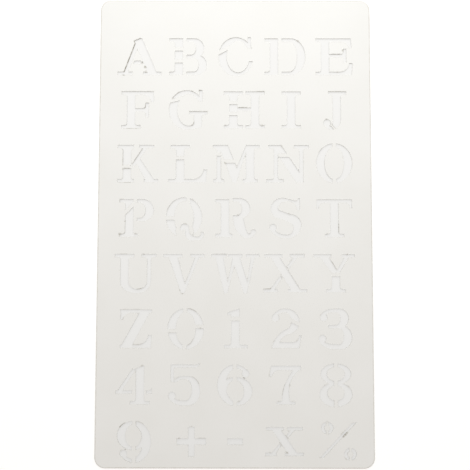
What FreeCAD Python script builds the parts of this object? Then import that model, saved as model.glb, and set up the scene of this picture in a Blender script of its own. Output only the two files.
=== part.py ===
import FreeCAD, Part
import Sketcher
import math
import os

# Lettering stencil: one thin flexible plate with rounded corners and eight rows of cut-out
# characters in a bracketed slab-serif face. Bridges across the strokes hold the plate together.
# Frame: X across the rows, +Y towards the tops of the letters, +Z out of the face. The origin is
# the centre of the underside.

os.makedirs("parts", exist_ok=True)
doc = FreeCAD.newDocument("lettering_stencil")
sheet = doc.addObject("Spreadsheet::Sheet", "sizes")

# ---------------------------------------------------------------- driving dimensions, in mm

SIZES = (
    ("plate_thickness", 0.5),
    ("corner_radius", 4.0),
    ("side_margin", 6.8),       # plate's edge to the start of the longest row
    ("top_margin", 15.2),       # plate's top edge to the first row's letters
    ("bottom_margin", 2.5),     # last baseline to the plate's bottom edge
    ("row_gap", 6.56),          # baseline to the tops of the next row's letters
    ("letter_height", 14.3),
    ("stem", 3.1),              # thick upright strokes
    ("slanted_stem", 3.4),      # thick slanted strokes, measured along X
    ("thin_stem", 1.5),         # thin upright and slanted strokes
    ("hairline", 1.2),          # arms, crossbars and hooks
    ("round_hairline", 1.35),   # tops and bottoms of round strokes
    ("digit_bowl", 1.9),        # bottoms of the round digits
    ("arm_serif", 4.2),         # how far the flared end of an arm reaches from its letter line
    ("serif_thickness", 1.15),
    ("serif_reach", 2.1),       # how far a serif stands out from its stem
    ("bracket_radius", 0.9),    # rounding between a stem and its serifs
    ("overshoot", 0.45),        # how far round letters pass the two letter lines
    ("oval_lift", 0.3),         # how far O and Q sit above the other round letters
    ("bridge", 1.4),
    ("narrow_bridge", 0.8),     # in small strokes
    ("ball_radius", 1.4),       # round stroke ends
)

# Each character: its name, the room before it in its row, and its width.
ROWS = (
    (("A", 0.0, 16.8), ("B", 3.1, 14.4), ("C", 4.5, 13.4), ("D", 4.3, 15.7), ("E", 4.0, 14.2)),
    (("F", 1.7, 12.5), ("G", 5.7, 14.7), ("H", 6.3, 15.6), ("I", 6.6, 7.2), ("J", 8.5, 9.0)),
    (("K", 0.4, 15.5), ("L", 3.9, 14.7), ("M", 2.3, 17.8), ("N", 2.5, 16.9), ("O", 2.2, 13.7)),
    (("P", 1.5, 13.3), ("Q", 4.3, 14.2), ("R", 4.5, 15.4), ("S", 5.0, 12.2), ("T", 5.8, 13.4)),
    (("U", 0.1, 15.9), ("V", 2.2, 15.5), ("W", 2.5, 18.3), ("X", 1.6, 16.3), ("Y", 2.5, 15.5)),
    (("Z", 1.8, 12.3), ("zero", 5.9, 13.6), ("one", 7.6, 8.8), ("two", 8.6, 11.6),
     ("three", 6.5, 12.5)),
    (("four", 0.8, 13.5), ("five", 6.1, 11.9), ("six", 6.4, 13.1), ("seven", 6.3, 12.1),
     ("eight", 6.6, 12.3)),
    (("nine", 1.5, 12.7), ("plus", 9.5, 10.9), ("minus", 7.9, 5.7), ("times", 8.4, 14.2),
     ("percent", 5.9, 13.7)),
)


def add_size(row, alias, value):
    sheet.set("A%d" % row, alias)
    sheet.set("B%d" % row, "%g" % value)
    sheet.setAlias("B%d" % row, alias)


entries = list(SIZES)
for characters in ROWS:
    for name, room, width in characters:
        entries += [("room_" + name, room), ("width_" + name, width)]
for number, (alias, value) in enumerate(entries, start=1):
    add_size(number, alias, value)
doc.recompute()


def size(alias):
    return float(sheet.get(alias))


HEIGHT = size("letter_height")
STEM = size("stem")
SLANTED = size("slanted_stem")
THIN = size("thin_stem")
HAIR = size("hairline")
ROUND_HAIR = size("round_hairline")
DIGIT_BOWL = size("digit_bowl")
ARM_SERIF = size("arm_serif")
SERIF = size("serif_thickness")
REACH = size("serif_reach")
BRACKET = size("bracket_radius")
OVER = size("overshoot")
LIFT = size("oval_lift")
BRIDGE = size("bridge")
NARROW = size("narrow_bridge")
BALL = size("ball_radius")
TOP = HEIGHT + OVER
BOTTOM = -OVER
MIDDLE = HEIGHT / 2
BOWL = 0.48         # how far a bowl's rounded side reaches, as a share of the bowl's height
COUNTER = 0.36      # the same for the space inside it
PAST = 1.0          # how far a cutting shape stands out past what it cuts

# ---------------------------------------------------------------- flat shapes that letters are made of


def point(x, y):
    return FreeCAD.Vector(x, y, 0)


def outline(start, *steps):
    """A face from a start point and steps: a step is (x, y) for a line, or (via, end) for an arc."""
    edges = []
    last = start
    for step in steps + (start,):
        if isinstance(step[0], tuple):
            via, end = step
            edges.append(Part.Arc(point(*last), point(*via), point(*end)).toShape())
        else:
            end = step
            if math.dist(last, end) > 1e-6:
                edges.append(Part.LineSegment(point(*last), point(*end)).toShape())
        last = end
    return Part.Face(Part.Wire(edges))


def join(shapes):
    """One flat shape from several."""
    return shapes[0].fuse(shapes[1:]).removeSplitter() if len(shapes) > 1 else shapes[0]


def box(x0, y0, x1, y1):
    return outline((x0, y0), (x1, y0), (x1, y1), (x0, y1))


def oval(x0, y0, x1, y1):
    """The ellipse that fills a box."""
    middle = point((x0 + x1) / 2, (y0 + y1) / 2)
    across = point((x1 - x0) / 2, 0)
    along = point(0, (y1 - y0) / 2)
    if abs(across.Length - along.Length) < 1e-6:
        curve = Part.Circle(middle, FreeCAD.Vector(0, 0, 1), across.Length)
    elif across.Length > along.Length:
        curve = Part.Ellipse(middle + across, middle + along, middle)
    else:
        curve = Part.Ellipse(middle + along, middle - across, middle)
    return Part.Face(Part.Wire([curve.toShape()]))


def ball(x, y):
    return oval(x - BALL, y - BALL, x + BALL, y + BALL)


def ring(x0, y0, x1, y1, left=STEM, right=STEM, end=ROUND_HAIR):
    """A round stroke that fills a box, with its thickness at the left, the right, and both ends."""
    return oval(x0, y0, x1, y1).cut(oval(x0 + left, y0 + end, x1 - right, y1 - end))


def dee(x0, y0, x1, y1, share=BOWL):
    """A block with a straight left side, whose right side is rounded by a share of its height."""
    nose = share * (y1 - y0)
    round_side = oval(x1 - 2 * nose, y0, x1, y1)
    left_part = box(x0 - 2 * nose, y0 - PAST, x0, y1 + PAST)
    return join([box(x0, y0, x1 - nose, y1), round_side]).cut(left_part)


def slant(x0, y0, x1, y1, width):
    """A slanted stroke whose left edge runs from (x0, y0) up to (x1, y1)."""
    return outline((x0, y0), (x0 + width, y0), (x1 + width, y1), (x1, y1))


def strip(x, y, length, width, angle):
    """A bar of the given length and width about (x, y), turned by angle degrees."""
    bar = box(x - length / 2, y - width / 2, x + length / 2, y + width / 2)
    bar.rotate(point(x, y), FreeCAD.Vector(0, 0, 1), angle)
    return bar


def bridge_over(x, y, width=STEM):
    """A level bridge from y up, over a stroke that starts at x."""
    return box(x, y, x + width, y + BRIDGE)


def bridge_along(x, y0=BOTTOM - PAST, y1=TOP + LIFT + PAST, width=BRIDGE):
    """An upright bridge whose middle is x."""
    return box(x - width / 2, y0, x + width / 2, y1)


def bracket(x, y, side, up):
    """The rounding in the corner (x, y), which opens towards side (+1 right) and up (+1 upwards)."""
    reach_x = x + side * BRACKET
    reach_y = y + up * BRACKET
    inset = BRACKET * (1 - math.sqrt(0.5))
    return outline((x, y), (reach_x, y), ((x + side * inset, y + up * inset), (x, reach_y)))


def serif(x0, x1, y, up, left, right):
    """A serif from x0 to x1, on the letter line y, bracketed to a stem from left to right."""
    edge = y + up * SERIF
    shapes = [box(x0, min(y, edge), x1, max(y, edge))]
    if left - x0 > BRACKET:
        shapes.append(bracket(left, edge, -1, up))
    if x1 - right > BRACKET:
        shapes.append(bracket(right, edge, 1, up))
    return shapes


def upright(x, width, head=(REACH, REACH), foot=(REACH, REACH), bottom=0.0, top=HEIGHT):
    """A stem from x to x + width. head and foot give how far its serifs reach left and right."""
    shapes = [box(x, bottom, x + width, top)]
    if head:
        shapes += serif(x - head[0], x + width + head[1], top, -1, x, x + width)
    if foot:
        shapes += serif(x - foot[0], x + width + foot[1], bottom, 1, x, x + width)
    return shapes


def arm(x0, x1, y, up, share=1.0):
    """A thin arm along the letter line y, from x0 to its flared end at x1."""
    drop = share * ARM_SERIF
    inner = y + up * HAIR
    end = outline(
        (x1 - 1.1 * drop, y),
        (x1 - 0.06 * drop, y),
        (x1, y + up * drop),
        (x1 - 0.28 * drop, y + up * drop),
        ((x1 - 0.55 * drop, inner + up * 0.2 * drop), (x1 - 1.1 * drop, inner)))
    return [box(x0, min(y, inner), x1 - drop, max(y, inner)), end]


def middle_arm(x0, x1, y):
    """A thin arm with its top edge at y, and the bracketed upright serif at its end."""
    return [
        box(x0, y - HAIR, x1, y),
        box(x1, y - HAIR - REACH, x1 + HAIR, y + REACH),
        bracket(x1, y, -1, 1),
        bracket(x1, y - HAIR, -1, -1)]


def hook(x0, x1, side, line, ball_y, end=ROUND_HAIR):
    """A thin quarter turn from the letter line at x1 to the left side x0, up to a ball at ball_y."""
    rise = abs(side - line)
    turn = ring(x0, side - rise, 2 * x1 - x0, side + rise, HAIR, HAIR, end)
    if line < side:
        kept = box(x0 - PAST, line - PAST, x1, ball_y)
    else:
        kept = box(x0 - PAST, ball_y, x1, line + PAST)
    reach = (x1 - x0) * math.sqrt(1 - ((side - ball_y) / rise) ** 2)
    return [turn.common(kept), ball(x1 - reach + BALL, ball_y)]


def turned(shape, width):
    """The shape turned upside down about the middle of its character."""
    copy = shape.copy()
    copy.rotate(point(width / 2, MIDDLE), FreeCAD.Vector(0, 0, 1), 180)
    return copy


# ---------------------------------------------------------------- the characters
# Each function takes the character's width and returns its strokes and the bridges across them.
# X starts at the character's left side, and Y at the baseline.

def letter_a(width):
    apex = 0.35 * width
    thin_foot = REACH
    thick_foot = width - 0.7 * REACH - SLANTED
    thin_top = apex + 0.45 * SLANTED
    bar_low = 0.3 * HEIGHT
    bar_high = bar_low + HAIR

    def bar_left(y):
        return thin_foot + THIN + (thin_top - thin_foot) * y / HEIGHT + NARROW

    def bar_right(y):
        return thick_foot + (apex - thick_foot) * y / HEIGHT - NARROW

    strokes = [
        slant(thin_foot, 0, thin_top, HEIGHT, THIN),
        slant(thick_foot, 0, apex, HEIGHT, SLANTED),
        box(0, 0, thin_foot + THIN + REACH, SERIF),
        box(thick_foot - REACH, 0, width, SERIF),
        outline((bar_left(bar_low), bar_low), (bar_right(bar_low), bar_low),
                (bar_right(bar_high), bar_high), (bar_left(bar_high), bar_high))]
    sheared_top = outline(
        (apex - HAIR, HEIGHT - 1.35 * HAIR), (apex + SLANTED - THIN / 2, HEIGHT),
        (apex - HAIR, HEIGHT + PAST))
    return strokes, [sheared_top]


def letter_b(width):
    bowl = REACH + STEM + BRIDGE
    waist = 0.505 * HEIGHT
    upper_right = width - 0.35 * STEM
    strokes = upright(REACH, STEM, head=(REACH, 0), foot=(REACH, 0))
    bowls = join([
        dee(bowl, waist - HAIR / 2, upper_right, HEIGHT),
        dee(bowl, 0, width, waist + HAIR / 2)])
    counters = [
        dee(bowl, waist + HAIR / 2, upper_right - STEM, HEIGHT - HAIR, COUNTER),
        dee(bowl, HAIR, width - STEM, waist - HAIR / 2, COUNTER)]
    strokes.append(bowls.cut(counters))
    return strokes, [bridge_over(REACH, 0.66 * HEIGHT), bridge_over(REACH, 0.33 * HEIGHT)]


def letter_c(width):
    tip = width - 0.8 * HAIR
    mouth_top = 0.73 * HEIGHT
    mouth = box(width / 2 + THIN, 0.37 * HEIGHT, width + PAST, mouth_top)
    strokes = [
        ring(0, BOTTOM, width, TOP, right=THIN).cut(mouth),
        box(tip - HAIR, mouth_top, tip, TOP)]
    return strokes, [strip(STEM / 2, 0.66 * HEIGHT, 2.7 * STEM, BRIDGE, 28)]


def letter_d(width):
    bowl = REACH + STEM + BRIDGE
    strokes = upright(REACH, STEM, head=(REACH, 0), foot=(REACH, 0))
    counter = dee(bowl, HAIR, width - STEM, HEIGHT - HAIR, 0.7 * COUNTER)
    strokes.append(dee(bowl, 0, width, HEIGHT, 0.8 * BOWL).cut(counter))
    return strokes, []


def letter_e(width):
    stem_right = REACH + STEM
    strokes = upright(REACH, STEM, head=(REACH, 0), foot=(REACH, 0))
    strokes += arm(stem_right, width - HAIR / 3, HEIGHT, -1, 0.85)
    strokes += middle_arm(stem_right, width - 3 * HAIR, 0.57 * HEIGHT)
    strokes += arm(stem_right, width, 0, 1, 1.1)
    return strokes, []


def letter_f(width):
    stem_right = REACH + STEM
    strokes = upright(REACH, STEM, head=(REACH, 0))
    strokes += arm(stem_right, width, HEIGHT, -1)
    strokes += middle_arm(stem_right, width - 2.75 * HAIR, 0.54 * HEIGHT)
    return strokes, []


def letter_g(width):
    stem_right = width - REACH
    stem_left = stem_right - STEM
    bar = 0.455 * HEIGHT
    round_right = 0.92 * width
    middle = round_right / 2
    tip = width - 1.6 * HAIR
    mouth_top = 0.73 * HEIGHT
    floor_rise = 0.8 * HAIR
    floor_middle = (middle + stem_right) / 2
    floor = outline(
        (middle, BOTTOM),
        ((floor_middle, BOTTOM + floor_rise / 4), (stem_right, BOTTOM + floor_rise)),
        (stem_right, bar), (stem_left, bar), (stem_left, 0.22 * HEIGHT),
        ((stem_left - 0.16 * STEM, HAIR), (middle + HAIR, BOTTOM + ROUND_HAIR)),
        (middle, BOTTOM + ROUND_HAIR))
    strokes = [
        ring(0, BOTTOM, round_right, TOP, right=THIN).cut(
            box(middle + HAIR, HAIR, width + PAST, mouth_top)),
        floor,
        box(stem_left - 0.8 * REACH, bar - SERIF, width, bar),
        box(tip - HAIR, mouth_top, tip, TOP)]
    return strokes, [strip(STEM / 2, 0.76 * HEIGHT, 3 * STEM, BRIDGE, 15)]


def letter_h(width):
    right = width - REACH - STEM
    bar = 0.56 * HEIGHT
    strokes = upright(REACH, STEM) + upright(right, STEM)
    strokes.append(box(REACH + STEM, bar - HAIR, right, bar))
    return strokes, [bridge_over(REACH, 0.65 * HEIGHT), bridge_over(REACH, 0.35 * HEIGHT)]


def letter_i(width):
    reach = (width - STEM) / 2
    return upright(reach, STEM, (reach, reach), (reach, reach)), []


def letter_j(width):
    right = width - REACH
    bend = 0.25 * HEIGHT
    middle = right / 2
    ball_y = 0.15 * HEIGHT
    strokes = upright(right - STEM, STEM, head=(0.8 * REACH, REACH), foot=None, bottom=bend)
    turn = ring(0, BOTTOM, right, 2 * bend - BOTTOM)
    strokes.append(turn.common(box(middle, BOTTOM - PAST, right, bend)))
    strokes += hook(0, middle, bend, BOTTOM, ball_y)
    return strokes, [strip(right - 0.92 * STEM, 0.03 * HEIGHT, 1.7 * BALL, NARROW, -50)]


def letter_k(width):
    stem_right = REACH + STEM
    arm_top = width - 1.5 * SLANTED
    leg_foot = width - 0.4 * REACH - SLANTED
    slope = (arm_top - stem_right) / (0.56 * HEIGHT)

    def arm_edge(y):
        return arm_top - slope * (HEIGHT - y)

    leg_high = 0.68 * HEIGHT
    leg_low = 0.54 * HEIGHT
    serif_inside = REACH / 2
    strokes = upright(REACH, STEM, head=(REACH, serif_inside), foot=(REACH, serif_inside))
    strokes += [
        slant(arm_edge(0.44 * HEIGHT), 0.44 * HEIGHT, arm_top, HEIGHT, THIN),
        box(arm_top - REACH, HEIGHT - SERIF, arm_top + THIN + REACH, HEIGHT),
        outline((leg_foot, 0), (leg_foot + SLANTED, 0), (arm_edge(leg_high) + THIN / 2, leg_high),
                (arm_edge(leg_low) + THIN / 2, leg_low)),
        box(leg_foot - REACH / 2, 0, width, SERIF)]
    return strokes, [bridge_over(REACH, 0.37 * HEIGHT)]


def letter_l(width):
    stem_left = 1.4 * REACH
    strokes = upright(stem_left, STEM, foot=(stem_left, 0))
    strokes += arm(stem_left + STEM, width, 0, 1, 1.15)
    return strokes, [bridge_over(stem_left, 0.61 * HEIGHT)]


def letter_m(width):
    thin_left = 0.7 * REACH
    thick_left = width - REACH - STEM
    top_left = thin_left + THIN / 2
    fork = (top_left + SLANTED + thick_left) / 2
    vertex = fork - 0.6 * THIN
    short = 0.6 * REACH
    strokes = upright(thin_left, THIN, head=(thin_left, 0), foot=(short, short))
    strokes += upright(thick_left, STEM, head=(0, REACH), foot=(short, short))
    strokes.append(outline(
        (vertex - THIN / 2, 0), (vertex + THIN / 2, 0), (thick_left + THIN / 2, HEIGHT),
        (thick_left, HEIGHT), (fork, 0.4 * HEIGHT), (top_left + SLANTED, HEIGHT),
        (top_left, HEIGHT)))
    bridges = [
        bridge_over(thin_left, 0.71 * HEIGHT, THIN),
        bridge_over(thin_left + THIN, 0.52 * HEIGHT, fork - thin_left - THIN)]
    return strokes, bridges


def letter_n(width):
    thin_left = 1.4 * REACH
    thin_right = width - 1.3 * REACH - THIN
    thick_top = 0.9 * REACH
    thick_foot = thin_right - 0.8 * THIN
    strokes = upright(thin_left, THIN, head=None, foot=(thin_left, REACH))
    strokes += upright(thin_right, THIN, foot=None)
    strokes += [
        slant(thick_foot, 0, thick_top, HEIGHT, SLANTED + NARROW / 2).common(
            box(0, 0, thin_right + THIN, HEIGHT)),
        box(0.4 * REACH, HEIGHT - SERIF, thick_top + SLANTED, HEIGHT)]
    return strokes, [bridge_over(thin_left + THIN, 0.68 * HEIGHT, thin_right - thin_left - THIN)]


def letter_o(width):
    return [ring(0, BOTTOM + LIFT, width, TOP + LIFT)], [bridge_along(width / 2)]


def letter_p(width):
    stem_right = REACH + STEM
    bowl = stem_right + BRIDGE
    low = 0.42 * HEIGHT
    right = width - HAIR / 3
    strokes = upright(REACH, STEM, head=(REACH, 0), foot=(REACH, 0.8 * REACH))
    strokes.append(dee(bowl, low, right, HEIGHT).cut(
        dee(bowl, low + HAIR, right - STEM, HEIGHT - HAIR, COUNTER)))
    bridges = [
        box(stem_right, low, bowl, HEIGHT),
        strip(REACH + 0.35 * STEM, 0.73 * HEIGHT, 2.4 * STEM, BRIDGE, 45)]
    return strokes, bridges


def letter_q(width):
    right = 0.96 * width
    middle = right / 2
    tail_room = oval(middle - 0.22 * width, -0.1 * HEIGHT, middle + 0.26 * width, 0.38 * HEIGHT)
    tail = outline(
        (0.38 * width, 0.2 * HEIGHT),
        ((0.48 * width, 0.35 * HEIGHT), (0.61 * width, 0.19 * HEIGHT)),
        ((0.68 * width, 0.055 * HEIGHT), (0.8 * width, 0.01 * HEIGHT)),
        ((0.91 * width, 0.035 * HEIGHT), (0.93 * width, 0.13 * HEIGHT)),
        (width, 0.13 * HEIGHT),
        ((0.95 * width, -0.05 * HEIGHT), (0.8 * width, -0.08 * HEIGHT)),
        ((0.62 * width, -0.08 * HEIGHT), (0.51 * width, 0.13 * HEIGHT)),
        ((0.47 * width, 0.2 * HEIGHT), (0.44 * width, 0.155 * HEIGHT)))
    top_bridge = bridge_along(middle + HAIR + BRIDGE / 4, y0=MIDDLE)
    side_bridge = bridge_over(-PAST, 0.45 * HEIGHT, STEM + 2 * PAST)
    oval_stroke = ring(0, BOTTOM + LIFT, right, TOP + LIFT)
    return [oval_stroke.cut([top_bridge, side_bridge, tail_room]), tail], []


def letter_r(width):
    bowl = REACH + STEM + BRIDGE
    low = 0.49 * HEIGHT
    right = 0.855 * width
    leg_left = bowl + 0.13 * STEM
    leg_right = leg_left + STEM
    strokes = upright(REACH, STEM, head=(REACH, 0), foot=(REACH, 0.6 * REACH))
    strokes.append(dee(bowl, low, right, TOP, 1.1 * BOWL).cut(
        dee(bowl, low + HAIR, right - STEM, TOP - HAIR, COUNTER)))
    strokes.append(outline(
        (leg_left, low + HAIR / 2),
        ((leg_left + 0.2 * STEM, 0.22 * HEIGHT), (leg_right, 0.03 * HEIGHT)),
        ((0.82 * width, BOTTOM), (width, 0.155 * HEIGHT)),
        ((0.94 * width, 0.2 * HEIGHT), (0.875 * width, 0.15 * HEIGHT)),
        ((0.83 * width, 0.085 * HEIGHT), (0.78 * width, 0.14 * HEIGHT)),
        ((leg_right + STEM / 3, 0.33 * HEIGHT), (leg_right + STEM / 8, low + HAIR / 2))))
    return strokes, []


def letter_s(width):
    half = width / 2
    tip = width - HAIR / 2
    left = HAIR / 2
    thick_left = left + STEM
    thick_right = width - STEM
    ball_y = 0.25 * HEIGHT
    spine = outline(
        (half, TOP),
        ((0.15 * width, 0.95 * HEIGHT), (left, 0.76 * HEIGHT)),
        ((0.12 * width, 0.58 * HEIGHT), (0.38 * width, 0.49 * HEIGHT)),
        (thick_right - HAIR, 0.38 * HEIGHT),
        ((thick_right, 0.3 * HEIGHT), (thick_right, 0.24 * HEIGHT)),
        ((thick_right - HAIR / 2, 0.11 * HEIGHT), (half, BOTTOM + ROUND_HAIR)),
        ((0.25 * width, 0.13 * HEIGHT), (0.17 * width, 0.2 * HEIGHT)),
        (0.02 * width, 0.2 * HEIGHT),
        ((0.25 * width, 0.02 * HEIGHT), (half, BOTTOM)),
        ((0.87 * width, 0.08 * HEIGHT), (width, 0.3 * HEIGHT)),
        ((0.93 * width, 0.49 * HEIGHT), (0.67 * width, 0.6 * HEIGHT)),
        (thick_left + HAIR / 2, 0.7 * HEIGHT),
        ((thick_left - HAIR / 3, 0.76 * HEIGHT), (thick_left, 0.84 * HEIGHT)),
        ((thick_left + 0.8 * HAIR, 0.92 * HEIGHT), (half, TOP - ROUND_HAIR)),
        ((0.78 * width, 0.89 * HEIGHT), (tip - HAIR, 0.72 * HEIGHT)),
        (tip, 0.72 * HEIGHT),
        (tip, TOP),
        (0.89 * width, TOP),
        ((0.85 * width, 0.97 * HEIGHT), (0.79 * width, 0.97 * HEIGHT)))
    return [spine, ball(BALL, ball_y)], []


def letter_t(width):
    arm_end = 0.24 * width

    def flared(x, inward):
        return outline(
            (x, HEIGHT), (x, 0.77 * HEIGHT), (x + 0.25 * inward * arm_end, 0.77 * HEIGHT),
            ((x + 0.4 * inward * arm_end, 0.88 * HEIGHT), (x + inward * arm_end, HEIGHT - HAIR)),
            (x + inward * arm_end, HEIGHT))

    strokes = upright((width - STEM) / 2, STEM, head=None)
    strokes += [box(0, HEIGHT - HAIR, width, HEIGHT), flared(0, 1), flared(width, -1)]
    return strokes, []


def letter_u(width):
    left = 0.9 * REACH
    right = width - 1.15 * REACH
    bend = 0.28 * HEIGHT
    strokes = upright(left, STEM, foot=None, bottom=bend)
    strokes += upright(right - THIN, THIN, foot=None, bottom=bend)
    turn = ring(left, BOTTOM, right, 2 * bend - BOTTOM, right=THIN, end=1.25 * HAIR)
    strokes.append(turn.common(box(0, BOTTOM - PAST, width, bend)))
    return strokes, []


def vee(left, fork_x, fork_y, right, thick):
    """A thick stroke down from left and a thin one up to right; their inner edges fork at a point."""
    tip = fork_x - 0.25 * thick
    return outline(
        (left, HEIGHT), (tip - HAIR / 2, BOTTOM), (tip + HAIR / 2, BOTTOM), (right, HEIGHT),
        (right - THIN, HEIGHT), (fork_x, fork_y), (left + thick, HEIGHT))


def letter_v(width):
    left = 0.8 * REACH
    right = width - 0.75 * REACH
    strokes = [
        vee(left, 0.53 * width, 0.22 * HEIGHT, right, SLANTED),
        box(0, HEIGHT - SERIF, left + SLANTED + REACH, HEIGHT),
        box(right - THIN - REACH, HEIGHT - SERIF, width, HEIGHT)]
    return strokes, []


def letter_w(width):
    left = 0.67 * REACH
    middle = 0.41 * width
    right = width - 0.75 * REACH
    thick = 0.9 * SLANTED
    fork_y = 0.27 * HEIGHT
    short = REACH / 2
    strokes = [
        vee(left, 0.345 * width, fork_y, middle + 1.6 * THIN, thick),
        vee(middle, 0.75 * width, fork_y, right, thick),
        box(0, HEIGHT - SERIF, left + thick + 0.6 * REACH, HEIGHT),
        box(middle - short, HEIGHT - SERIF, middle + thick + 0.6 * REACH, HEIGHT),
        box(right - THIN - REACH, HEIGHT - SERIF, width, HEIGHT)]
    return strokes, []


def crossed(width, height, foot_serif, head_serif):
    """A thick stroke falling to the right, and a thin one in two halves, each a bridge away from it."""
    thick_top = 0.12 * width
    thick_foot = width - 0.12 * width - SLANTED
    thin_foot = 0.1 * width
    thin_top = width - 0.17 * width - THIN
    cleared = outline(
        (thick_foot - NARROW, 0), (thick_foot + SLANTED + NARROW, 0),
        (thick_top + SLANTED + NARROW, height), (thick_top - NARROW, height))
    strokes = [
        slant(thin_foot, 0, thin_top, height, THIN).cut(cleared),
        slant(thick_foot, 0, thick_top, height, SLANTED),
        box(0.02 * width, height - SERIF, thick_top + SLANTED + 0.8 * REACH, height),
        box(thin_top - REACH, height - SERIF, thin_top + THIN + head_serif, height),
        box(0, 0, thin_foot + THIN + foot_serif, SERIF),
        box(thick_foot - 0.9 * REACH, 0, width, SERIF)]
    return strokes, []


def letter_x(width):
    return crossed(width, HEIGHT, REACH, 0.9 * REACH)


def letter_y(width):
    stem_left = width / 2 - 0.3 * STEM
    stem_right = stem_left + STEM
    joint = 0.42 * HEIGHT
    left = 0.85 * REACH
    right = width - 0.8 * REACH
    strokes = upright(stem_left, STEM, head=None, top=joint)
    strokes += [
        outline((left, HEIGHT), (stem_left, joint + BRIDGE), (stem_right, joint + BRIDGE),
                (right, HEIGHT), (right - THIN, HEIGHT),
                (stem_left + 0.63 * STEM, 0.58 * HEIGHT), (left + SLANTED, HEIGHT)),
        box(0, HEIGHT - SERIF, left + SLANTED + 0.7 * REACH, HEIGHT),
        box(right - THIN - 0.8 * REACH, HEIGHT - SERIF, width, HEIGHT)]
    return strokes, []


def hanging_end(x, drop, reach, bar):
    """The left end of a bar along the top: it starts at x and hangs down by a share of the height."""
    low = HEIGHT * (1 - drop)
    return outline(
        (x + HAIR / 2, HEIGHT), (x, low), (x + 0.8 * HAIR, low),
        ((x + 1.4 * HAIR, (low + HEIGHT - bar) / 2 + 0.2 * HAIR), (x + reach, HEIGHT - bar)),
        (x + reach, HEIGHT))


def letter_z(width):
    left = HAIR / 3
    strokes = [
        slant(left, 0, width - 1.2 * SLANTED, HEIGHT, 1.15 * SLANTED).common(
            box(0, 0, width, HEIGHT)),
        box(left, HEIGHT - HAIR, width, HEIGHT),
        hanging_end(HAIR / 4, 0.26, 0.33 * width, HAIR)]
    return strokes + arm(left, width, 0, 1, 1.15), []


def digit_zero(width):
    half = width / 2
    bridges = [
        bridge_along(half - BRIDGE / 6, y0=MIDDLE),
        bridge_along(half - BRIDGE / 3, y1=MIDDLE),
        bridge_over(-PAST, 0.4 * HEIGHT, half),
        bridge_over(half, 0.51 * HEIGHT, half + PAST)]
    return [ring(0, BOTTOM, width, TOP)], bridges


def digit_one(width):
    stem_left = 0.3 * width
    stem_right = stem_left + STEM
    slope_foot = TOP - 0.7 * STEM / 2
    beak = 0.14 * width
    flag = outline(
        (stem_left, slope_foot), (stem_right, TOP), (stem_right, MIDDLE), (stem_left, MIDDLE))
    beak_shape = outline(
        (beak, 0.92 * HEIGHT), (stem_left, slope_foot), (stem_left, 0.88 * HEIGHT),
        (beak, 0.85 * HEIGHT))
    strokes = upright(
        stem_left, STEM, head=None, foot=(stem_left, width - stem_right), top=0.9 * HEIGHT)
    return strokes + [flag, beak_shape], [bridge_over(stem_left, 0.715 * HEIGHT)]


def digit_two(width):
    half = 0.48 * width
    right = 0.94 * width
    crown = 0.69 * HEIGHT
    heel = 0.29 * width
    toe = 0.035 * width
    rise = TOP - crown
    turn = ring(2 * half - right, crown - rise, right, TOP)
    neck = outline(
        (toe, 0),
        ((0.2 * width, 0.29 * HEIGHT), (0.48 * width, 0.48 * HEIGHT)),
        ((0.64 * width, 0.58 * HEIGHT), (right - STEM, crown)),
        (right, crown),
        ((0.86 * width, 0.5 * HEIGHT), (0.6 * width, 0.37 * HEIGHT)),
        ((0.38 * width, 0.26 * HEIGHT), (heel, 0.155 * HEIGHT)),
        (heel, 0))
    foot = outline(
        (toe, 0), (0.93 * width, 0), (width, 0.33 * HEIGHT), (0.92 * width, 0.33 * HEIGHT),
        ((0.86 * width, 0.2 * HEIGHT), (0.76 * width, 0.155 * HEIGHT)), (heel, 0.155 * HEIGHT))
    strokes = [turn.common(box(half, crown, right + PAST, TOP + PAST)), neck, foot]
    strokes += hook(0.02 * width, half, crown, TOP, 0.79 * HEIGHT)
    return strokes, [strip(right - STEM / 2, 0.67 * HEIGHT, 2 * STEM, BRIDGE, -25)]


def low_bowl(x0, x1, top, share):
    """The lower bowl of a digit: from x0 to x1, with its upper stroke's top edge at top."""
    return dee(x0, BOTTOM, x1, top, share).cut(
        dee(x0, BOTTOM + DIGIT_BOWL, x1 - STEM, top - HAIR, 0.8 * COUNTER))


def digit_three(width):
    waist = 0.56 * HEIGHT
    half = 0.48 * width
    upper_right = 0.9 * width
    strokes = [
        dee(half, waist - HAIR / 2, upper_right, TOP).cut(
            dee(half, waist + HAIR / 2, upper_right - STEM, TOP - ROUND_HAIR, COUNTER)),
        low_bowl(half, width, waist + HAIR / 2, BOWL),
        box(0.29 * width, waist - HAIR / 2, half, waist + HAIR / 2)]
    strokes += hook(0.04 * width, half, 0.79 * HEIGHT, TOP, 0.8 * HEIGHT)
    strokes += hook(0, half, 0.25 * HEIGHT, BOTTOM, 0.25 * HEIGHT, DIGIT_BOWL)
    return strokes, []


def digit_four(width):
    stem_right = 0.785 * width
    stem_left = stem_right - STEM
    bar = 0.36 * HEIGHT
    bar_end = stem_left - BRIDGE
    right_start = stem_right + NARROW
    strokes = upright(stem_left, STEM, head=None)
    strokes += [
        box(0, bar - HAIR, bar_end, bar),
        slant(0, bar - HAIR, stem_left - 0.8 * HAIR, HEIGHT - HAIR / 2, THIN),
        outline((right_start, bar - HAIR), (width, bar - HAIR), (width, 0.42 * HEIGHT),
                ((0.95 * width, 0.37 * HEIGHT), (right_start, bar)))]
    sheared_top = outline(
        (stem_left - HAIR, HEIGHT - 1.35 * HAIR), (stem_right - HAIR / 2, HEIGHT),
        (stem_right, HEIGHT + PAST), (stem_left - HAIR, HEIGHT + PAST))
    return strokes, [sheared_top]


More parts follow.
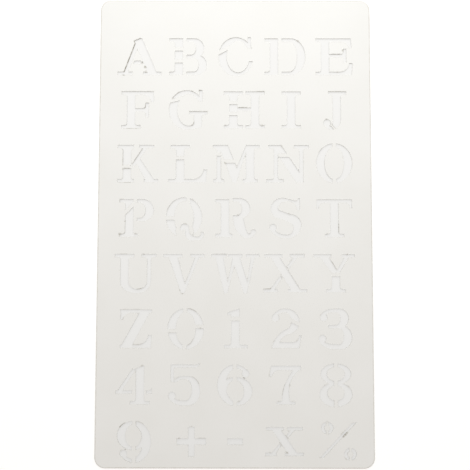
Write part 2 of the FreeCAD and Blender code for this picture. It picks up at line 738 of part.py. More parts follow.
def digit_five(width):
    left = 0.075 * width
    half = width / 2
    shoulder = 0.73 * HEIGHT
    under = shoulder - HAIR
    neck = 0.6 * HEIGHT
    flag = outline(
        (left, TOP - HAIR), (0.78 * width, TOP - HAIR),
        ((0.95 * width, TOP - HAIR / 2), (width, TOP + HAIR / 2)),
        ((0.88 * width, TOP), (0.72 * width, TOP)), (left, TOP))
    start = outline(
        (left, neck),
        ((0.26 * width, 0.58 * HEIGHT), (0.34 * width, 0.61 * HEIGHT)),
        ((0.4 * width, under), (half, under)),
        (half, shoulder),
        ((0.3 * width, 0.7 * HEIGHT), (left + HAIR, neck)))
    strokes = [
        flag,
        box(left, neck, left + HAIR, TOP),
        start,
        low_bowl(half, width, shoulder, 0.85 * BOWL)]
    return strokes + hook(0, half, 0.24 * HEIGHT, BOTTOM, 0.23 * HEIGHT, DIGIT_BOWL), []


def digit_seven(width):
    foot_left = 0.4 * width
    foot_right = foot_left + 0.87 * STEM
    bar = 0.115 * HEIGHT
    right = 0.975 * width
    neck = 0.19 * HEIGHT
    strokes = upright(foot_left, foot_right - foot_left, head=None, top=neck)
    strokes += [
        outline((foot_left, neck), (foot_right, neck),
                ((0.625 * width, HEIGHT / 2), (right, HEIGHT - HAIR)), (right, HEIGHT),
                (0.76 * width, HEIGHT - HAIR),
                ((0.5 * width, 0.55 * HEIGHT), (foot_left, neck))),
        box(HAIR, HEIGHT - bar, right, HEIGHT),
        hanging_end(0, 0.28, 0.33 * width, bar)]
    return strokes, []


def digit_eight(width):
    half = width / 2
    waist = 0.55 * HEIGHT
    inset = 0.035 * width
    shared = HAIR / 3
    ovals = join([
        oval(inset, waist - shared, width - inset, TOP + shared),
        oval(0, BOTTOM - shared, width, waist + shared)])
    counters = [
        oval(0.9 * STEM, waist - shared + HAIR, width - 0.9 * STEM, TOP + shared - HAIR),
        oval(0.95 * STEM, BOTTOM + DIGIT_BOWL, width - 0.95 * STEM, waist + shared - HAIR)]
    return [ovals.cut(counters)], [bridge_along(half)]


def digit_nine(width):
    half = width / 2
    back = ring(0, BOTTOM, width, TOP, left=THIN / 2)
    strokes = [
        back.common(box(half, BOTTOM - PAST, width, TOP + PAST)),
        ring(0, 0.29 * HEIGHT, width - 0.25 * STEM, TOP, right=0.87 * STEM, end=HAIR)]
    return strokes + hook(0, half, MIDDLE, BOTTOM, 0.2 * HEIGHT), [bridge_along(half)]


def digit_six(width):
    strokes, bridges = digit_nine(width)
    return [turned(shape, width) for shape in strokes], [turned(shape, width) for shape in bridges]


SIGN_MIDDLE = 0.51 * HEIGHT
SIGN_ARM = 0.75 * STEM


def sign_plus(width):
    half = width / 2
    return [
        box(0, SIGN_MIDDLE - SIGN_ARM / 2, width, SIGN_MIDDLE + SIGN_ARM / 2),
        box(half - SIGN_ARM / 2, SIGN_MIDDLE - half, half + SIGN_ARM / 2, SIGN_MIDDLE + half)], []


def sign_minus(width):
    return [box(0, SIGN_MIDDLE - SIGN_ARM / 2, width, SIGN_MIDDLE + SIGN_ARM / 2)], []


def sign_times(width):
    strokes, bridges = crossed(width, 0.73 * HEIGHT, 0.6 * REACH, REACH)
    for shape in strokes:
        shape.translate(point(0, 0.15 * HEIGHT))
    return strokes, bridges


def sign_percent(width):
    radius = 0.16 * HEIGHT
    strokes = [slant(0, 0.1 * HEIGHT, width - THIN, HEIGHT, THIN)]
    bridges = []
    for x, y in ((radius + HAIR / 2, 0.86 * HEIGHT), (width - radius, 0.195 * HEIGHT)):
        strokes.append(ring(x - radius, y - radius, x + radius, y + radius, HAIR, HAIR, HAIR))
        bridges.append(bridge_along(x, y - radius - PAST, y + radius + PAST, NARROW))
    return strokes, bridges


CHARACTERS = {
    "A": letter_a, "B": letter_b, "C": letter_c, "D": letter_d, "E": letter_e,
    "F": letter_f, "G": letter_g, "H": letter_h, "I": letter_i, "J": letter_j,
    "K": letter_k, "L": letter_l, "M": letter_m, "N": letter_n, "O": letter_o,
    "P": letter_p, "Q": letter_q, "R": letter_r, "S": letter_s, "T": letter_t,
    "U": letter_u, "V": letter_v, "W": letter_w, "X": letter_x, "Y": letter_y,
    "Z": letter_z, "zero": digit_zero, "one": digit_one, "two": digit_two,
    "three": digit_three, "four": digit_four, "five": digit_five, "six": digit_six,
    "seven": digit_seven, "eight": digit_eight, "nine": digit_nine,
    "plus": sign_plus, "minus": sign_minus, "times": sign_times, "percent": sign_percent,
}


def openings(name):
    """The separate openings of a character, as flat faces without inner islands."""
    strokes, bridges = CHARACTERS[name](size("width_" + name))
    up = FreeCAD.Vector(0, 0, 1)
    blocks = [shape.extrude(up) for shape in strokes]
    block = blocks[0].fuse(blocks[1:]) if len(blocks) > 1 else blocks[0]
    if bridges:
        block = block.cut([shape.extrude(up) for shape in bridges])
    faces = [face for face in block.removeSplitter().Faces if face.BoundBox.ZMax < 1e-6]
    for face in faces:
        if len(face.Wires) > 1:
            raise ValueError("%s has a loose island" % name)
    return faces


# ---------------------------------------------------------------- the plate

def sketch_on(body, name, plane="XY_Plane"):
    """A new sketch on one of the body's own origin planes."""
    sketch = body.newObject("Sketcher::SketchObject", name)
    support = [item for item in body.Origin.OriginFeatures if item.Role == plane][0]
    sketch.AttachmentSupport = [(support, "")]
    sketch.MapMode = "FlatFace"
    return sketch


def row_length(characters):
    return " + ".join("sizes.room_%s + sizes.width_%s" % (name, name) for name, _, _ in characters)


def add_rectangle(sketch, width, height):
    """A rectangle about the sketch's origin, whose width and height are expressions."""
    corners = [point(-1, -1), point(1, -1), point(1, 1), point(-1, 1)]
    for start, end in zip(corners, corners[1:] + corners[:1]):
        sketch.addGeometry(Part.LineSegment(start, end))
    for side in range(4):
        sketch.addConstraint(Sketcher.Constraint("Coincident", side, 2, (side + 1) % 4, 1))
    for side, direction in enumerate(("Horizontal", "Vertical", "Horizontal", "Vertical")):
        sketch.addConstraint(Sketcher.Constraint(direction, side))
    sketch.addConstraint(Sketcher.Constraint("Symmetric", 0, 1, 2, 1, -1, 1))
    for label, side, expression in (("width", 0, width), ("height", 1, height)):
        index = sketch.addConstraint(Sketcher.Constraint("Distance", side, 2.0))
        sketch.renameConstraint(index, label)
        sketch.setExpression("Constraints." + label, expression)


def as_sketch_geometry(edge):
    """The edge as a sketch line or arc. Arcs run anticlockwise."""
    first, last = edge.ParameterRange
    start, middle, end = (edge.valueAt(value) for value in (first, (first + last) / 2, last))
    curve = edge.Curve
    if isinstance(curve, Part.Line):
        return Part.LineSegment(start, end)
    up = FreeCAD.Vector(0, 0, 1)
    if isinstance(curve, Part.Circle):
        whole = Part.Circle(curve.Center, up, curve.Radius)
        arc = Part.ArcOfCircle
    else:
        major = curve.XAxis * curve.MajorRadius
        minor = up.cross(curve.XAxis) * curve.MinorRadius
        whole = Part.Ellipse(curve.Center + major, curve.Center + minor, curve.Center)
        arc = Part.ArcOfEllipse
    begin, between, finish = (whole.parameter(spot) for spot in (start, middle, end))
    turn = 2 * math.pi
    if (between - begin) % turn > (finish - begin) % turn:
        begin, finish = finish, begin
    return arc(whole, begin, finish)


def add_plate(body):
    blank = sketch_on(body, "blank_outline")
    rows = "; ".join(row_length(characters) for characters in ROWS)
    add_rectangle(
        blank,
        "2 * sizes.side_margin + max(%s)" % rows,
        "sizes.top_margin + %d * sizes.letter_height + %d * sizes.row_gap + sizes.bottom_margin"
        % (len(ROWS), len(ROWS) - 1))
    pad = body.newObject("PartDesign::Pad", "blank")
    pad.Profile = blank
    pad.setExpression("Length", "sizes.plate_thickness")
    doc.recompute()
    corners = ["Edge%d" % (number + 1) for number, edge in enumerate(pad.Shape.Edges)
               if edge.BoundBox.ZLength > 0.5 * size("plate_thickness")]
    rounded = body.newObject("PartDesign::Fillet", "rounded_corners")
    rounded.Base = (pad, corners)
    rounded.setExpression("Radius", "sizes.corner_radius")
    blank.Visibility = False
    return rounded


def add_character(body, row, place):
    """The sketch of one character's openings, at its place in its row, and the area they take."""
    name = ROWS[row][place][0]
    sketch = sketch_on(body, "outline_" + name)
    before = ROWS[row][:place]
    left = [row_length(before)] if before else []
    left.append("sizes.room_%s" % name)
    sketch.setExpression(
        "AttachmentOffset.Base.x",
        "(sizes.side_margin + %s) * 1 mm - blank_outline.Constraints.width / 2" % " + ".join(left))
    sketch.setExpression(
        "AttachmentOffset.Base.y",
        "blank_outline.Constraints.height / 2"
        " - (sizes.top_margin + %d * sizes.letter_height + %d * sizes.row_gap) * 1 mm" % (row + 1, row))
    sketch.setExpression("AttachmentOffset.Base.z", "sizes.plate_thickness")
    area = 0
    for face in openings(name):
        area += face.Area
        sketch.addGeometry([as_sketch_geometry(edge) for edge in face.OuterWire.Edges])
    return sketch, area


plate = doc.addObject("PartDesign::Body", "stencil_plate")
plate.Label = "stencil_plate"
sheet_blank = add_plate(plate)
doc.recompute()
area_left = sheet_blank.Shape.Volume / size("plate_thickness")
sketches = []
for row, characters in enumerate(ROWS):
    for place in range(len(characters)):
        sketch, area = add_character(plate, row, place)
        sketches.append(sketch)
        area_left -= area
lettering = plate.newObject("PartDesign::SubShapeBinder", "lettering")
lettering.Support = [(sketch, "") for sketch in sketches]
lettering.MakeFace = True
cut = plate.newObject("PartDesign::Pocket", "openings")
cut.Profile = lettering
cut.Type = "ThroughAll"
doc.recompute()

# ---------------------------------------------------------------- checks and files

for item in doc.Objects:
    if "Invalid" in item.State or "Error" in item.State:
        raise ValueError("%s failed: %s" % (item.Name, item.State))
shape = plate.Shape
if shape.isNull() or not shape.isValid() or len(shape.Solids) != 1:
    raise ValueError("the plate isn't one valid solid")
expected = area_left * size("plate_thickness")
if abs(shape.Volume - expected) > 0.001 * expected:
    raise ValueError("an opening isn't cut: volume %.2f, expected %.2f" % (shape.Volume, expected))
print("plate %.2f x %.2f x %.2f mm, %.0f mm3" % (
    shape.BoundBox.XLength, shape.BoundBox.YLength, shape.BoundBox.ZLength, shape.Volume))
shape.exportStep("parts/%s.step" % plate.Label)
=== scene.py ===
import math

import bmesh
import bpy
from mathutils import Matrix, Vector, geometry


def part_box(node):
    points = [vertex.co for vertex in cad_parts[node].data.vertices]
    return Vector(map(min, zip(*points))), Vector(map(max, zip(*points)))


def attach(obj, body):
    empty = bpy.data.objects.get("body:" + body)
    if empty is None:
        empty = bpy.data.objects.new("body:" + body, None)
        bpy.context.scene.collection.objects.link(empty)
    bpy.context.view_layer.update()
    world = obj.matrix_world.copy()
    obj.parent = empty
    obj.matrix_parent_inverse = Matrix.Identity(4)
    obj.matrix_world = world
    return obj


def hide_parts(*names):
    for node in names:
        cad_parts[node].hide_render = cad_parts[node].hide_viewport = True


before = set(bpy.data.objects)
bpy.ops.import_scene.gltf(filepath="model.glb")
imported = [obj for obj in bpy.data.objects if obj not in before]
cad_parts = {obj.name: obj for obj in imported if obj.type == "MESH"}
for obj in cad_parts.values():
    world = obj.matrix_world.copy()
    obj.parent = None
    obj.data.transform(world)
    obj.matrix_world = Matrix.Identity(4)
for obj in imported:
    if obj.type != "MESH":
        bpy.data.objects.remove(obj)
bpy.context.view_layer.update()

# A white plastic lettering stencil, lying face up on a plain white sheet. Lengths are in metres,
# where no comment says otherwise.

MM = 0.001

# ---------------------------------------------------------------- sizes

PLATE_LOW, PLATE_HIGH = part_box("stencil_plate")
THICKNESS = PLATE_HIGH.z - PLATE_LOW.z
HALF_WIDTH = PLATE_HIGH.x
HALF_LENGTH = PLATE_HIGH.y
FIRST_BASELINE = 59.5 * MM      # the line that the first row of characters stands on
ROW_PITCH = 20.86 * MM

LIP_REACH = 0.22 * MM           # the raised, heated lip along every cut edge
LIP_CREST = 0.10 * MM           # how far from the edge it is highest
LIP_HEIGHT = 0.012 * MM
EDGE_ROUND = 0.035 * MM         # rounding between the faces and the cut walls
RIM_ROUND = 0.35 * MM           # rounding of the sheet's own upper rim
RIM_TURNS = (0, 25, 50, 70, 90)     # its steps from the face to the wall, in degrees

MARK_REACH = 0.8 * MM           # how near a scorch or painted-shade mark the cut edges are dark
SOOT_AND_SHADE_REACH = 0.36 * MM          # how far into the plate the soot and painted shade spread from a cut edge
SPREAD = 0.35 * MM              # how much further it spreads at the darkest spot
BEAD = 0.4 * MM                 # how far melted plastic stands out into the opening there

STEP = 0.6 * MM                 # longest stretch of an edge between two mesh points
FINE_STEP = 0.2 * MM            # the same beside a scorch mark
LEAST_STEP = 0.02 * MM          # a shorter stretch is joined to the one after it
WELD = 0.001 * MM               # mesh points nearer to each other than this are one point

# How the plate's outlines are found on its upper face and moved inwards.
UPPER_FACE = PLATE_HIGH.z - 0.1 * THICKNESS     # only the upper face has corners above this
FACING_UP = 0.9                 # least height of the unit normal of one of its polygons
DECIMALS = 8                    # corners that agree so far are the same corner
RIM_BAND = 1.0 * MM             # only the sheet's own rim comes this near to its sides
LEAST_BISECTOR = 0.2            # two unit normals with a shorter sum are at a fold in the outline
LEAST_MITRE = 0.6               # keeps the mitre of a sharp corner from running away
SMOOTHING_ROUNDS = 6
SAME_POINT = 1e-5               # for the triangulation, in millimetres

# Dark marks beside the cut edges: scorch, and painted shade along the upper edges of some openings
# and in narrow slots.
# For each row of characters: streaks (x, y, x, y, darkness) and spots (x, y, darkness), in
# millimetres from the middle of the plate and above the row's baseline.
SCORCH_AND_SHADE_MARKS = (
    (   # A to E
        (-38.3, 12.4, -42.9, 0.2, 0.95), (-39.0, 13.1, -36.8, 13.9, 0.95),
        (-4.1, 12.2, -1.6, 13.9, 0.5), (37.5, 7.9, 40.0, 7.9, 0.6),
        (-34.6, 6.7, 0.5), (-35.8, 4.9, 0.5), (-34.5, 3.1, 1.0), (-34.3, 0.8, 0.9),
        (-24.6, 0.6, 0.7), (-18.0, 7.3, 0.4), (-18.0, 0.8, 0.5), (-5.2, 8.0, 0.4),
        (13.2, 0.9, 0.4), (24.0, 13.3, 0.5), (21.5, 2.0, 0.3), (41.5, 9.6, 0.8), (39.4, 0.9, 0.6),
    ),
    (   # F to J
        (-43.3, 14.2, -31.6, 14.2, 0.15), (-33.7, 9.6, -34.6, 7.9, 0.6),
        (-24.0, 11.7, -21.4, 13.9, 0.5), (-16.5, 14.6, -13.2, 14.8, 0.55),
        (-16.4, 1.2, -15.0, 2.8, 0.7), (-17.6, 6.4, -11.0, 6.4, 0.35),
        (1.7, 7.7, 4.3, 7.7, 0.85), (8.5, 14.2, 10.9, 14.2, 0.4),
        (36.2, 14.4, 42.2, 14.4, 0.35), (36.8, 1.6, 38.0, 0.2, 0.6),
        (-41.4, 0.0, -37.7, 0.0, 0.4),
        (-42.4, 0.6, 0.8), (-36.7, 0.6, 0.8), (-3.7, 0.7, 0.8), (10.3, 0.9, 0.75),
        (35.0, 3.5, 0.4),
    ),
    (   # K to O
        (-35.0, 12.9, -38.6, 8.0, 0.4), (32.0, 11.9, 33.0, 13.2, 0.55),
        (-43.0, 12.6, -43.0, 5.1, 0.5), (-42.1, 5.3, -40.3, 5.3, 0.5),
        (-44.0, 0.2, -40.0, 0.2, 0.4), (-23.0, 8.6, -23.0, 5.6, 0.35),
        (-5.8, 8.4, -5.8, 3.0, 0.35),
        (-31.9, 1.4, 0.5), (-3.9, 7.3, 0.8), (-5.3, 0.9, 0.7), (-30.4, 2.2, 0.3),
        (-21.5, 8.9, 0.35), (0.7, 5.7, 0.3), (17.8, 13.9, 0.35), (43.9, 12.4, 0.4),
    ),
    (   # P to T
        (-43.6, 14.0, -42.4, 14.0, 0.4), (39.1, 4.6, 39.1, 2.2, 0.6),
        (-42.1, 9.2, -42.1, 1.5, 0.3), (-26.2, 10.1, -24.9, 12.7, 0.6),
        (-24.9, 12.7, -23.2, 14.4, 0.35),
        (-43.4, 0.9, 0.8), (-37.7, 1.1, 0.4), (-24.9, 12.7, 0.6), (-16.1, 14.5, 0.4),
        (-18.8, 4.9, 0.4), (1.1, 8.3, 0.4), (22.8, 14.5, 0.4), (20.4, 8.8, 0.35),
        (-42.0, 5.9, 0.7), (34.9, 0.9, 0.4),
    ),
    (   # U to Y
        (-43.6, 14.2, -41.0, 14.2, 0.3), (-36.8, 1.1, -34.4, 1.2, 0.6),
        (-20.3, 0.9, -19.0, 1.8, 0.9), (-7.7, 14.2, -3.0, 14.2, 0.25),
        (11.3, 1.3, 13.6, 1.3, 0.65), (21.5, 14.3, 26.0, 14.3, 0.15),
        (21.4, 7.0, 24.0, 2.6, 0.3), (36.6, 11.4, 37.9, 9.0, 0.4),
        (-34.5, 14.1, 0.5), (-23.6, 11.0, 0.3), (-21.4, 11.1, 0.3), (-19.7, 0.0, 0.9),
        (-3.6, 2.0, 0.3), (21.5, 11.8, 0.4), (36.9, 14.2, 0.4), (42.5, 14.3, 0.45),
        (37.4, 2.9, 0.4),
    ),
    (   # Z and 0 to 3
        (-41.9, 14.1, -35.8, 14.1, 0.3), (-42.0, 13.6, -42.3, 11.0, 0.5),
        (-38.0, 1.3, -34.2, 1.3, 0.35), (-17.0, 14.6, -14.0, 13.4, 0.5),
        (-17.3, 1.0, -15.6, 2.9, 0.35), (20.9, 9.4, 17.0, 6.4, 0.3),
        (-35.4, 12.6, 0.35), (-24.4, 5.4, 0.3), (-12.8, 7.3, 0.35), (14.4, 2.8, 0.4),
        (23.4, 2.9, 0.3), (32.6, 12.2, 0.3),
    ),
    (   # 4 to 8
        (-15.6, 9.9, -13.4, 7.9, 0.4), (13.8, 12.6, 13.2, 10.8, 0.35),
        (18.5, 7.4, 17.8, 4.0, 0.4),
        (-43.3, 5.1, 0.3), (-34.7, 14.3, 0.5), (-21.1, 9.7, 0.35), (-20.8, 1.3, 0.35),
        (-2.0, 9.2, 0.3), (3.6, 9.5, 0.3), (1.7, 1.0, 0.35), (20.3, 7.1, 0.4),
        (16.5, 0.8, 0.4), (21.7, 0.8, 0.4), (33.6, 9.4, 0.4), (33.9, 6.8, 0.5),
        (42.4, 6.8, 0.35),
    ),
    (   # 9 and the signs
        (-42.4, 12.6, -41.0, 13.6, 1.0), (-36.4, 14.3, -34.0, 14.0, 0.4),
        (-13.0, 8.5, -11.3, 8.5, 0.4),
        (-42.2, 4.2, 0.4), (-16.0, 12.6, 0.3), (-20.7, 8.2, 0.6), (19.4, 3.0, 1.0),
        (22.4, 5.4, 0.4), (13.1, 3.4, 0.3), (34.4, 14.5, 0.3), (41.6, 1.3, 0.4),
        (40.0, 9.8, 0.7), (40.6, 10.4, 0.7), (41.2, 11.0, 0.6),
        (40.5, 9.3, 0.6), (41.1, 9.9, 0.7), (41.7, 10.5, 0.6),
    ),
)

# ---------------------------------------------------------------- looks

PLASTIC_TONES = ((0.825, 0.818, 0.785), (0.848, 0.842, 0.815))     # the mottling's two ends
TONE_PLACES = (0.3, 0.7)        # the noise values at which they are reached
TINGE_AND_RIM_SHADE_COLOR = (0.46, 0.40, 0.27)        # plastic yellowed by the hot cut, and painted shade on the sheet's own rim
# scorch, and painted shade where the marks lie along upper cut edges and in narrow slots
SOOT_AND_SHADE_COLOR = (0.155, 0.125, 0.06)
PLASTIC_ROUGHNESS = (0.42, 0.54)
PLASTIC_IOR = 1.5
MOTTLING_SCALE = 45.0           # noise patches to a metre, and so for the next three
SPECK_SCALE = 420.0
SOOT_AND_SHADE_SCALE = 1300.0
GRAIN_SCALE = 2600.0
GRAIN_STRENGTH = 0.06
GRAIN_DEPTH = 0.05 * MM

PAPER_COLOR = (0.55, 0.545, 0.535)
PAPER_GLOW = 0.54               # makes the paper white to the camera
OPENING_COLOR = (0.25, 0.245, 0.235)
OPENING_GLOW_WITH_PAINTED_FALLOFF = (0.515, 0.665)   # in the openings, at the lower and the upper end of the plate: painted light, brighter towards the window
OPENING_MARGIN = 2.0 * MM       # how far inside the plate's sides the openings' tone begins
GLOW_COLOR = (1.0, 0.995, 0.98)
PAPER_ROUGHNESS = 0.7
FLOOR_SIDE = 3.0
FLOOR_DROP = 0.02 * MM          # keeps the floor clear of the plate's underside

WORLD_STRENGTH = 0.672
WORLD_COLOR = (1.0, 0.965, 0.94)
WINDOW_PLACE = (0.01, 0.22, 0.25)
WINDOW_SIDE = 0.30
WINDOW_POWER = 0.645
WINDOW_COLOR = (0.945, 0.98, 1.0)

CAMERA_DISTANCE = 311.8 * MM
CAMERA_TILT = math.radians(4.76)        # from straight above, towards the lower end of the plate
CAMERA_SWING = math.radians(0.78)
CAMERA_ROLL = math.radians(0.08)
CAMERA_SENSOR = 36.0                    # millimetres, as the lens
CAMERA_LENS = 63.1
CAMERA_TARGET = Vector((0.04, -2.33, 0.5)) * MM
CAMERA_NEAREST = 0.01


def around(ring):
    """Each item of a closed ring with the one after it."""
    return zip(ring, ring[1:] + ring[:1])


# ---------------------------------------------------------------- scorch marks and painted shade


def scorch_and_shade_marks():
    """The marks as (one end, the other end, darkness), in metres. A spot's ends are the same."""
    marks = []
    for row, entries in enumerate(SCORCH_AND_SHADE_MARKS):
        baseline = FIRST_BASELINE - row * ROW_PITCH
        for entry in entries:
            start = Vector((entry[0] * MM, baseline + entry[1] * MM))
            end = Vector((entry[-3] * MM, baseline + entry[-2] * MM))
            marks.append((start, end, entry[-1]))
    return marks


def marks_near(loop, marks):
    """The marks that can darken the loop."""
    reach = 2 * MARK_REACH
    low = Vector((min(point.x for point in loop) - reach, min(point.y for point in loop) - reach))
    high = Vector((max(point.x for point in loop) + reach, max(point.y for point in loop) + reach))
    return [mark for mark in marks
            if max(mark[0].x, mark[1].x) > low.x and min(mark[0].x, mark[1].x) < high.x
            and max(mark[0].y, mark[1].y) > low.y and min(mark[0].y, mark[1].y) < high.y]


def darkness(point, marks):
    """How dark the marks make the plate at a point: 0 for white to 1."""
    dark = 0.0
    for start, end, strength in marks:
        along = end - start
        share = (point - start).dot(along) / along.length_squared if along.length > 0 else 0.0
        nearest = start.lerp(end, min(max(share, 0.0), 1.0))
        gap = (point - nearest).length / MARK_REACH
        if gap < 1:
            dark = max(dark, strength * (1 - gap * gap * (3 - 2 * gap)))
    return dark


# ---------------------------------------------------------------- outlines of the plate


def rims(mesh):
    """The closed loops around the plate's upper face, as lists of points, plate on the left."""
    follow = {}
    count = {}
    for polygon in mesh.polygons:
        if polygon.normal.z < FACING_UP or mesh.vertices[polygon.vertices[0]].co.z < UPPER_FACE:
            continue
        corners = [tuple(round(value, DECIMALS) for value in mesh.vertices[index].co.xy)
                   for index in polygon.vertices]
        for side in around(corners):
            count[side] = count.get(side, 0) + 1
    for start, end in count:
        if (end, start) not in count:
            follow[start] = end
    loops = []
    while follow:
        start, point = follow.popitem()
        loop = [start]
        while point != loop[0]:
            loop.append(point)
            point = follow.pop(point)
        loops.append([Vector(corner) for corner in loop])
    return loops


def resampled(loop, marks):
    """The loop with its long sides divided, finer beside marks, and its shortest sides joined."""
    points = []
    for start, end in around(loop):
        rough = max(1, math.ceil((end - start).length / STEP))
        for number in range(rough):
            first = start.lerp(end, number / rough)
            last = start.lerp(end, (number + 1) / rough)
            pieces = 1
            if any(darkness(point, marks) > 0 for point in (first, (first + last) / 2, last)):
                pieces = max(1, math.ceil((last - first).length / FINE_STEP))
            points += [first.lerp(last, step / pieces) for step in range(pieces)]
    return [point for point, after in around(points) if (after - point).length > LEAST_STEP]


def inset(loop, distances):
    """The loop moved into the plate by a distance at each point, with mitred corners.

    Where that turns a side round, the side is drawn together to a point.
    """
    moved = []
    befores = loop[-1:] + loop[:-1]
    afters = loop[1:] + loop[:1]
    for before, point, after, distance in zip(befores, loop, afters, distances):
        first = (point - before).normalized()
        second = (after - point).normalized()
        normal = Vector((-first.y - second.y, first.x + second.x))
        if normal.length < LEAST_BISECTOR:
            normal = Vector((-first.y, first.x))
        normal.normalize()
        stretch = max(LEAST_MITRE, normal.dot(Vector((-first.y, first.x))))
        moved.append(point + normal * distance / stretch)
    for _ in range(SMOOTHING_ROUNDS):
        for number, (start, end) in enumerate(around(loop)):
            after = (number + 1) % len(loop)
            if (moved[after] - moved[number]).dot(end - start) < 0:
                moved[number] = moved[after] = (moved[number] + moved[after]) / 2
    return moved


def is_outer(loop):
    """Whether the loop is the sheet's own rim, and not the edge of an opening."""
    return max(point.x for point in loop) > HALF_WIDTH - RIM_BAND


# ---------------------------------------------------------------- mesh of the plate


def cut_profile():
    """The levels of a cut edge, from the upper face down to the lower one.

    Each is (distance into the plate, height, tinge, soot and painted shade, how much further in at
    the darkest spot).
    """
    face = PLATE_HIGH.z - LIP_HEIGHT
    return (
        (SOOT_AND_SHADE_REACH, face, 0.0, 0.0, SPREAD),
        (LIP_REACH, face, 0.0, 0.7, 0.6 * SPREAD),
        (LIP_CREST, PLATE_HIGH.z, 0.1, 1.0, -0.4 * BEAD),
        (0.4 * EDGE_ROUND, PLATE_HIGH.z - 0.35 * EDGE_ROUND, 0.15, 1.0, -BEAD),
        (0.0, PLATE_HIGH.z - EDGE_ROUND, 0.1, 1.0, -BEAD),
        (0.0, PLATE_LOW.z + EDGE_ROUND, 0.1, 1.0, -BEAD),
        (EDGE_ROUND, PLATE_LOW.z, 0.1, 0.0, 0.0),
    )


def rim_profile():
    """The same for the sheet's own rim, which is rounded above and has no lip or marks. Its tinge
    is painted shade, darkest on the wall.
    """
    face = PLATE_HIGH.z - LIP_HEIGHT
    turns = [math.radians(angle) for angle in RIM_TURNS]
    rounded = [(RIM_ROUND * (1 - math.sin(turn)), face - RIM_ROUND * (1 - math.cos(turn)))
               for turn in turns]
    return (
        (RIM_ROUND + LIP_REACH, face, 0.0, 0.0, 0.0),
        # painted shade: the tinge darkens the rim's rounding and its wall
        *[(distance, height, 0.3, 0.0, 0.0) for distance, height in rounded],
        (0.0, PLATE_LOW.z + EDGE_ROUND, 0.6, 0.0, 0.0),
        (EDGE_ROUND, PLATE_LOW.z, 0.3, 0.0, 0.0),
    )


def plate_mesh(loops, marks):
    """The plate with rounded edges and a low lip along each cut.

    The attribute 'edge' fades from the edges and holds the cut's tinge and painted shade on the
    sheet's own rim; the mark attribute is how dark the scorch marks and the painted shade along
    some upper cut edges are.
    """
    vertices = []
    tinge_and_rim_shade = []
    scorch_and_shade = []
    faces = []
    borders = {"upper": [], "lower": []}
    for loop in loops:
        near = marks_near(loop, marks)
        spots = [mark for mark in near if mark[0] == mark[1]]
        dark = [darkness(point, near) for point in loop]
        spotted = [darkness(point, spots) for point in loop]
        profile = rim_profile() if is_outer(loop) else cut_profile()
        first = len(vertices)
        count = len(loop)
        for distance, height, strength, soot_and_shade, shift in profile:
            ring = inset(loop, [distance + shift * spot for spot in spotted])
            vertices += [(point.x, point.y, height) for point in ring]
            tinge_and_rim_shade += [strength] * count
            scorch_and_shade += [soot_and_shade * mark for mark in dark]
        for level in range(len(profile) - 1):
            base = first + level * count
            for number, after in around(list(range(count))):
                faces.append((base + number, base + count + number,
                              base + count + after, base + after))
        borders["upper"].append(list(range(first, first + count)))
        last = first + (len(profile) - 1) * count
        borders["lower"].append(list(range(last, last + count)))
    for side, rings in borders.items():
        added, triangles = filled(vertices, rings, side == "lower")
        vertices += added
        tinge_and_rim_shade += [0.0] * len(added)
        scorch_and_shade += [0.0] * len(added)
        faces += triangles
    return welded_mesh("stencil_sheet", vertices, faces, {"edge": tinge_and_rim_shade, "scorch_and_shade": scorch_and_shade})


def welded_mesh(name, vertices, faces, attributes):
    """A mesh with values at its points, on which the points that coincide are made one."""
    mesh = bpy.data.meshes.new(name)
    mesh.from_pydata(vertices, [], faces)
    for label, values in attributes.items():
        attribute = mesh.attributes.new(label, "FLOAT", "POINT")
        attribute.data.foreach_set("value", values)
    welded = bmesh.new()
    welded.from_mesh(mesh)
    bmesh.ops.remove_doubles(welded, verts=welded.verts, dist=WELD)
    welded.to_mesh(mesh)
    welded.free()
    mesh.validate()
    mesh.update()
    return mesh


def filled(vertices, rings, flipped):
    """Triangles of the flat region between rings of vertex numbers, and the vertices they add."""
    numbers = [number for ring in rings for number in ring]
    height = vertices[numbers[0]][2]
    points = [Vector(vertices[number][:2]) / MM for number in numbers]
    sides = []
    start = 0
    for ring in rings:
        sides += around(list(range(start, start + len(ring))))
        start += len(ring)
    found, edges, triangles, origins, edge_origins, _ = geometry.delaunay_2d_cdt(
        points, sides, [], 0, SAME_POINT)
    turns = {}
    for (first, last), origin in zip(edges, edge_origins):
        step = found[last] - found[first]
        for side in origin:
            start, end = sides[side]
            forwards = 1 if step.dot(points[end] - points[start]) > 0 else -1
            turns[(first, last)] = turns.get((first, last), 0) + forwards
            turns[(last, first)] = turns.get((last, first), 0) - forwards
    added = []
    places = []
    for point, origin in zip(found, origins):
        places.append(numbers[origin[0]] if origin else len(vertices) + len(added))
        if not origin:
            added.append((point.x * MM, point.y * MM, height))
    faces = []
    for triangle in ringed_once(triangles, turns):
        corners = [places[corner] for corner in triangle]
        if flipped:
            corners.reverse()
        faces.append(tuple(corners))
    return added, faces


def ringed_once(triangles, turns):
    """The triangles that the rings run once around: inside the sheet's rim, and in no opening.

    turns tells how often rings run from one corner to another, less how often they run back.
    """
    sides = [tuple(around(triangle)) for triangle in triangles]
    owner = {step: number for number, steps in enumerate(sides) for step in steps}
    times = {}
    waiting = []
    for step, number in owner.items():
        if step[::-1] not in owner and number not in times:
            times[number] = turns.get(step, 0)
            waiting.append(number)
    while waiting:
        number = waiting.pop()
        for step in sides[number]:
            other = owner.get(step[::-1])
            if other is not None and other not in times:
                times[other] = times[number] - turns.get(step, 0)
                waiting.append(other)
    return [triangle for number, triangle in enumerate(triangles) if times[number] == 1]


# ---------------------------------------------------------------- materials


def node_tree(name):
    """A new material, with its nodes and links."""
    material = bpy.data.materials.new(name)
    material.use_nodes = True
    return material, material.node_tree.nodes, material.node_tree.links


